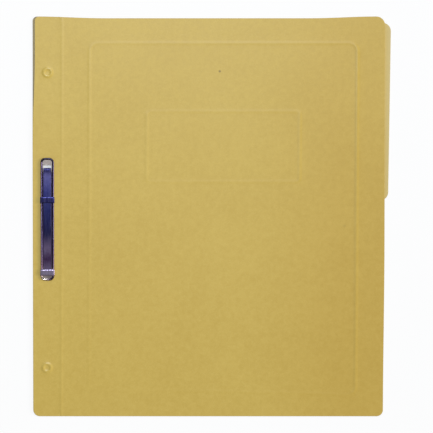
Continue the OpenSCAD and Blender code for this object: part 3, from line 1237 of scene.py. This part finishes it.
    def _inside(self, point: Point) -> bool:
        """Whether a point is on the sheet, away from its edges and holes."""
        x, y = point
        margin = self.grid_gap
        if not self.low.y + margin < y < self._head_edge(x) - margin:
            return False
        if not self._bind_edge(y) + margin < x < self._fore_edge(y) - margin:
            return False
        return all(math.dist(point, hole) > self.hole_r + margin for hole in self.holes)

    def _levels(self, reach: float) -> list[float]:
        """Even heights from the middle of the sheet down and up to a reach."""
        count = round(reach / self.edge_pitch)
        return [step * self.edge_pitch for step in range(-count, count + 1)]

    def _outline(self) -> list[Point]:
        """Closed counter-clockwise outline of the sheet."""
        top = self.high.y
        turns = [math.sin(math.radians(angle)) for angle in range(0, 91, self.corner_turn)]
        pairs = [(sign, radii[sign > 0]) for sign in (-1, 1) for radii in (self.fore_r, self.bind_r)]
        heights = {sign * (top - radius * (1 - turn)) for sign, radius in pairs for turn in turns}
        heights |= set(self._levels(self.edge_reach))
        if self.tab:
            ends = (self.tab.top, self.tab.top - self.tab.length)
            near = [self.tab_pitch * step for step in range(-self.tab_steps, self.tab_steps + 1)]
            fine = [end + offset for end in ends for offset in near]
            heights |= {y for y in fine if abs(y) < top - self.tab_gap}
        rising = sorted(heights)
        steps = [top, *(after - before for before, after in zip(rising, rising[1:]))]
        rising = [y for y, step in zip(rising, steps) if step > self.least_step or y == rising[-1]]
        right = [(self._fore_edge(y), y) for y in rising]
        left = [(self._bind_edge(y), y) for y in reversed(rising)]
        head = [(x, self._head_edge(x)) for x, _ in between(right[-1], left[0], self.grid)]
        foot = between(left[-1], right[0], self.grid)
        return right + head + left + foot

    def _grid(self) -> list[Point]:
        """Even grid of guide points over the sheet."""
        columns = range(int((self.high.x - self.low.x) / self.grid))
        lines = range(int((self.high.y - self.low.y) / self.grid))
        across = [self.low.x + (i + self.grid_start[0]) * self.grid for i in columns]
        along = [self.low.y + (j + self.grid_start[1]) * self.grid for j in lines]
        return [(x, y) for x in across for y in along]


@dataclass
class Fastener:
    """Steel fastener: prong strip, compressor bar with curled edges and two sliding locks."""

    prong_w: float = 5.5
    prong_t: float = PRONG_T
    prong_bend_r: float = 0.4
    prong_len: float = 47.4
    lay_gap: float = 0.08
    bar_t: float = 0.3
    bar_corner_r: float = 3.4
    bar_corner_steps: int = 16
    bar_pitch: float = 4.0
    curl_r: float = 0.25
    curl_steps: int = 14
    web_bend_r: float = 0.35
    web_bend_steps: int = 6
    curl_lip: float = 0.3
    slot_size: Point = (6.1, 3.4)
    slot_r: float = 0.8
    slot_pitch: float = 1.0
    web_lap: float = 0.12
    web_inset: float = 0.01
    web_ease: float = 0.06
    web_edge_pitch: float = 2.0
    web_guide: float = 0.9
    web_reach: int = 33
    web_pitch: int = 3
    # where painted highlights sit on the bar
    glint_end_y: float = 35.0
    glint_low: float = 0.5
    glint_spots: tuple[tuple[Point, float], ...] = (((-4.2, 39.6), 1.7), ((-2.6, -43.2), 2.6))
    slide_t: float = 0.3
    slide_bend_r: float = 0.3
    slide_foot: float = 0.25
    slide_flat: float = 0.36
    slide_roll: float = 0.14
    edge_sharp: float = 40.0

    def __post_init__(self) -> None:
        """Takes the places of the pieces from the frame."""
        self.bar = PiecePlace("compressor_bar")
        self.strip = PiecePlace("prong_strip")
        self.riser = (self.strip.high.y - self.strip.low.y - self.prong_t) / 2
        self.curl_outer = self.curl_r + self.bar_t
        self.rim_w = 2 * self.curl_outer + self.web_bend_r

    def build(
        self, prong: bpy.types.Material, bar: bpy.types.Material, slide: bpy.types.Material
    ) -> list[bpy.types.Object]:
        """Builds all pieces and hangs them on their bodies.

        Args:
            prong: finish of the prong strip.
            bar: finish of the compressor bar.
            slide: finish of the slides.

        Returns:
            The pieces.
        """
        pieces = [
            self._dress(self._prong_strip(prong), "binding", "prong_strip", "prong_steel"),
            self._dress(self._bar(bar), "binding", "compressor_bar", "bar_steel"),
        ]
        for node, body in (("upper_slide", "upper_lock"), ("lower_slide", "lower_lock")):
            pieces.append(self._dress(self._slide(node, slide), body, node, "slide_steel"))
        return pieces

    @staticmethod
    def _dress(piece: bpy.types.Object, body: str, node: str, slot: str) -> bpy.types.Object:
        """Hangs a piece on its body and lets it stand for its node.

        Args:
            piece: the piece.
            body: body that it moves with.
            node: node that it stands for.
            slot: not used.

        Returns:
            The piece.
        """
        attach(piece, body)
        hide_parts(node)
        return piece

    @staticmethod
    def _sweep(material: bpy.types.Material) -> NodeModifier:
        """Geometry nodes that sweep a section along a path and round the tips at its free ends.

        Args:
            material: finish of the swept steel.

        Returns:
            The modifier. The path lies in the XY plane; the section's X points to the right of the path and
            its Y down.
        """
        shape = NodeModifier("formed_steel", {"Section": "Object", "Tip Radius": "Float"})
        tree = shape.tree
        path = tree.node("GeometryNodeMeshToCurve", None, {"Mesh": shape.geometry})
        path = tree.node("GeometryNodeSetCurveNormal", {"mode": "Z_UP"}, {"Curve": path})
        travel = tree.node("GeometryNodeSplineParameter", output="Length")
        length = tree.node("GeometryNodeSplineLength", output="Length")
        closed = tree.node("GeometryNodeInputSplineCyclic")
        to_tip = (travel.least(length - travel) / shape.input("Tip Radius") + closed).least(1.0)
        width = (1.0 - (1.0 - to_tip) ** 2.0).most(0.0) ** 0.5
        path = tree.store(path, "width", width)
        section = tree.node(
            "GeometryNodeObjectInfo", None, {"Object": shape.input("Section")}, output="Geometry"
        )
        section = tree.node("GeometryNodeMeshToCurve", None, {"Mesh": section})
        swept = tree.node(
            "GeometryNodeCurveToMesh", None, {"Curve": path, "Profile Curve": section, "Fill Caps": True}
        )
        stored = tree.node("GeometryNodeInputNamedAttribute", {"data_type": "FLOAT"}, {"Name": "width"})
        x = tree.node("ShaderNodeSeparateXYZ", None, {"Vector": tree.node("GeometryNodeInputPosition")})
        z = x.other("Z") * stored
        place = tree.node("ShaderNodeCombineXYZ", None, {"X": x, "Y": x.other("Y"), "Z": z})
        swept = tree.node("GeometryNodeSetPosition", None, {"Geometry": swept, "Position": place})
        swept = tree.node("GeometryNodeRemoveAttribute", None, {"Geometry": swept, "Name": "width"})
        shape.close(swept, material)
        return shape

    def _formed(
        self,
        material: bpy.types.Material,
        path: Sequence[Point],
        section: Sequence[Point],
        bend_r: float,
        closed: bool = False,
        tip_r: float = 0.001,
        bend_steps: int = 6,
        pitch: float = 2.0,
    ) -> bpy.types.Mesh:
        """Sweeps a section along a path.

        Args:
            material: finish of the steel.
            path: corners of the path.
            section: closed outline of the section.
            bend_r: radius of the path's bends.
            closed: whether the path is closed.
            tip_r: radius of the rounded ends of an open path.
            bend_steps: chords of each bend.
            pitch: distance of the sections on straight runs.

        Returns:
            The mesh, in the plane of the path.
        """
        outline = wire("section", section, True)
        bent = wire("path", bent_path(path, bend_r, bend_steps, pitch, closed), closed)
        mesh = self._sweep(material).apply(bent, {"Section": outline, "Tip Radius": tip_r * MM})
        bpy.data.objects.remove(outline)
        return mesh

    def _prong_strip(self, material: bpy.types.Material) -> bpy.types.Object:
        """Flat strip with two risers whose prongs are folded over each other."""
        half_t = self.prong_t / 2
        upper = self.strip.high.z - half_t
        lower = upper - self.prong_t - self.lay_gap
        riser = self.riser
        tip = riser + half_t - self.prong_len
        from_tip = [0.0, 0.03, 0.12, 0.28, 0.5, 0.8, 1.2, 1.7, 2.3, 3.0]
        path = [(tip + step, upper) for step in from_tip] + [(riser, upper), (riser, half_t)]
        path += [(-riser, half_t), (-riser, lower)] + [(-tip - step, lower) for step in reversed(from_tip)]
        shares = (-0.5, -0.45, -0.36, -0.2, 0.0, 0.2, 0.36, 0.45, 0.5)
        section = band([(0.0, share * self.prong_w) for share in shares], self.prong_t)
        mesh = self._formed(material, path, section, self.prong_bend_r + half_t, tip_r=self.prong_w / 2)
        stand = Matrix(((0, 0, 1, 0), (1, 0, 0, 0), (0, 1, 0, 0), (0, 0, 0, 1)))
        spot = Vector((self.strip.middle.x, self.strip.middle.y, 0.0)) * MM
        mesh.transform(Matrix.Translation(spot) @ stand)
        return join("prong_strip_steel", [mesh], material, self.edge_sharp)

    def _bar(self, material: bpy.types.Material) -> bpy.types.Object:
        """Compressor bar: slotted web inside an edge that is bent up and curled over."""
        size = (self.bar.high.x - self.bar.low.x, self.bar.high.y - self.bar.low.y)
        rim_h = self.bar.high.z - self.bar.low.z
        half_t = self.bar_t / 2
        curl_z = rim_h - self.curl_outer
        line = [(-self.rim_w - lap, half_t) for lap in (self.web_lap, self.web_lap / 2)]
        bend = (-self.rim_w, self.bar_t + self.web_bend_r)
        line += arc(bend, self.web_bend_r + half_t, -90, 0, self.web_bend_steps)
        line += arc((-self.curl_outer, curl_z), self.curl_r + half_t, 180, 0, self.curl_steps)
        line += [(-half_t, curl_z - self.curl_lip / 2), (-half_t, curl_z - self.curl_lip)]
        section = [(x, -z) for x, z in band(line, self.bar_t)]
        corners = [(size[0] / 2, -size[1] / 2), (size[0] / 2, size[1] / 2)]
        corners += [(-x, -y) for x, y in corners]
        radius = self.bar_corner_r
        steps, pitch = self.bar_corner_steps, self.bar_pitch
        rim = self._formed(material, corners, section, radius, True, bend_steps=steps, pitch=pitch)
        inner = (size[0] - 2 * self.rim_w, size[1] - 2 * self.rim_w)
        web_line = rounded_rect((0.0, 0.0), inner, radius - self.rim_w, self.web_edge_pitch)
        spots = [(0.0, sign * self.riser) for sign in (-1, 1)]
        slots = [rounded_rect(spot, self.slot_size, self.slot_r, self.slot_pitch)[::-1] for spot in spots]
        across = [sign * self.web_guide * self.prong_w / 2 for sign in (-1, 0, 1)]
        along = range(-self.web_reach, self.web_reach + 1, self.web_pitch)
        rows = [Row([(x, y)]) for x in across for y in along]
        web = slab([web_line, *slots], rows, (self.web_inset, self.bar_t - self.web_inset), self.web_ease)
        spot = Matrix.Translation(Vector((self.bar.middle.x, self.bar.middle.y, self.bar.low.z)) * MM)
        for mesh in (rim, web):
            # painted highlights: the web's ends and two spots on the rim are lightened
            mark(mesh, "bare", [self._painted_glint_share(vertex.co.xy / MM, mesh is web) for vertex in mesh.vertices])
            mesh.transform(spot)
        return join("compressor_bar_steel", [rim, web], material, self.edge_sharp)

    def _painted_glint_share(self, point: Vector, on_web: bool) -> float:
        """How strongly a highlight is painted onto the bar at a point.

        Args:
            point: place from the middle of the bar.
            on_web: whether it is on the web, whose upper end gets the full painted highlight and whose
                lower end part of it.

        Returns:
            0 where nothing is painted to 1 where the painted highlight is full.
        """
        end = smooth(abs(point.y) - self.glint_end_y) * (1.0 if point.y > 0 else self.glint_low) if on_web else 0.0
        return max(end, *(spot_share(point, middle, radius) for middle, radius in self.glint_spots))

    def _slide(self, node: str, material: bpy.types.Material) -> bpy.types.Object:
        """Sliding lock: a band over the bar whose feet hook under the curled edges.

        Args:
            node: node that it stands for.
            material: its finish.

        Returns:
            The piece.
        """
        place = PiecePlace(node)
        half_t = self.slide_t / 2
        side = (place.high.x - place.low.x) / 2 - half_t
        low, high = half_t, place.high.z - place.low.z - half_t
        foot = side - half_t - self.slide_bend_r - self.slide_foot
        path = [(foot, low), (side, low), (side, high), (-side, high), (-side, low), (-foot, low)]
        length = place.high.y - place.low.y
        shares = (-0.5, -0.46, -0.41, -0.36, -0.25, 0.0, 0.25, 0.36, 0.41, 0.46, 0.5)
        rolled = [max(0.0, abs(share) - self.slide_flat) / (0.5 - self.slide_flat) for share in shares]
        line = [(-self.slide_roll * roll**2, share * length) for roll, share in zip(rolled, shares)]
        section = band(line, self.slide_t)
        mesh = self._formed(material, path, section, self.slide_bend_r + half_t)
        stand = Matrix(((1, 0, 0, 0), (0, 0, -1, 0), (0, 1, 0, 0), (0, 0, 0, 1)))
        spot = Vector((place.middle.x, place.middle.y, place.low.z)) * MM
        mesh.transform(Matrix.Translation(spot) @ stand)
        return join(f"{node}_steel", [mesh], material, self.edge_sharp)


@dataclass
class Studio:
    """White table, soft lamps, plain surroundings and the camera above."""

    view_mm: float = 316.4
    aim: Spot = (3.6, 0.3, 1.5)
    distance_mm: float = 1250.0
    lean: float = 1.4
    world: float = 0.33
    key_from: Spot = (5.6, 0.17, 2.73)
    key_strength: float = 2.0
    key_angle: float = 24.0
    key_tint: Colour = (1.0, 0.94, 0.88)
    fill_place: Spot = (-0.07, 0.52, 1.37)
    fill_m: float = 0.4
    fill_watts: float = 10.2
    fill_tint: Colour = (0.87, 0.985, 1.13)
    floor_m: float = 6.0
    floor_gap: float = 0.02

    def build(self) -> None:
        """Builds the whole setting."""
        self._floor()
        self._world()
        self._key()
        self._fill()
        self._camera()

    def _floor(self) -> None:
        """White table just under the folder."""
        shape = bmesh.new()
        bmesh.ops.create_grid(shape, x_segments=8, y_segments=8, size=self.floor_m / 2)
        mesh = bpy.data.meshes.new("table")
        shape.to_mesh(mesh)
        shape.free()
        mesh.transform(Matrix.Translation((0.0, 0.0, -self.floor_gap * MM)))
        mesh.materials.append(FloorFinish().material())
        new_object("table", mesh)

    def _world(self) -> None:
        """Even pale surroundings."""
        world = bpy.data.worlds.new("surroundings")
        world.use_nodes = True
        bpy.context.scene.world = world
        tree = Tree(world.node_tree)
        level = (self.world, self.world, self.world, 1.0)
        back = tree.node("ShaderNodeBackground", None, {"Color": level, "Strength": 1.0})
        tree.node("ShaderNodeOutputWorld", None, {"Surface": back})

    def _key(self) -> None:
        """Broad, distant key light."""
        data = bpy.data.lights.new("key", "SUN")
        data.energy = self.key_strength
        data.angle = math.radians(self.key_angle)
        data.color = self.key_tint
        self._hang(data, self.key_from)

    def _fill(self) -> None:
        """Soft square lamp above the folder."""
        data = bpy.data.lights.new("fill", "AREA")
        data.shape = "SQUARE"
        data.size = self.fill_m
        data.energy = self.fill_watts
        data.color = self.fill_tint
        self._hang(data, self.fill_place)

    @staticmethod
    def _hang(data: bpy.types.Light, place: Spot) -> None:
        """Puts a light at a place in metres, pointing at the folder."""
        lamp = bpy.data.objects.new(data.name, data)
        lamp.location = place
        lamp.rotation_euler = (-Vector(place)).to_track_quat("-Z", "Y").to_euler()
        bpy.context.scene.collection.objects.link(lamp)

    def _camera(self) -> None:
        """Camera nearly straight above, as in the photograph."""
        data = bpy.data.cameras.new("overhead")
        data.sensor_fit = "HORIZONTAL"
        data.angle = 2 * math.atan(self.view_mm / 2 / self.distance_mm)
        camera = bpy.data.objects.new("overhead", data)
        lean = math.radians(self.lean)
        away = Vector((0.0, math.sin(lean), math.cos(lean))) * self.distance_mm
        camera.location = (Vector(self.aim) + away) * MM
        camera.rotation_euler = Euler((-lean, 0.0, 0.0))
        bpy.context.scene.collection.objects.link(camera)
        bpy.context.scene.camera = camera


def main() -> None:
    """Builds and dresses the folder and its setting, in order."""
    logging.basicConfig(level=logging.INFO, format="%(name)s: %(message)s")
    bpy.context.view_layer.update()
    bpy.context.scene.view_settings.view_transform = "Standard"
    Studio().build()
    board = PressboardFinish().material()
    CoverSheet(
        "front_cover_sheet",
        ("front_cover", "front_binding_strip"),
        "front_leaf",
        "front_hinge",
        Facing.UP,
        frame_margins=(20.1, 20.6, 18.7),
        title=((111.6, 51.4), 69.0),
        ring_pitch=215.9,
        flare=0.5,
        draw=1.2,
        stains=(((6.0, 106.2), 1.1, 0.6), ((97.2, -6.6), 1.4, 0.12)),
        thumbed=True,
    ).build(board)
    CoverSheet(
        "back_cover_sheet",
        ("back_cover", "back_binding_strip"),
        "back_leaf",
        "back_hinge",
        Facing.DOWN,
        tab_depth=4.3,
        draw=0.25,
        binding_edge_shaded=True,
    ).build(board)
    Fastener().build(PRONG_STEEL.material(), BAR_STEEL.material(), SLIDE_STEEL.material())


if __name__ == "__main__":
    main()
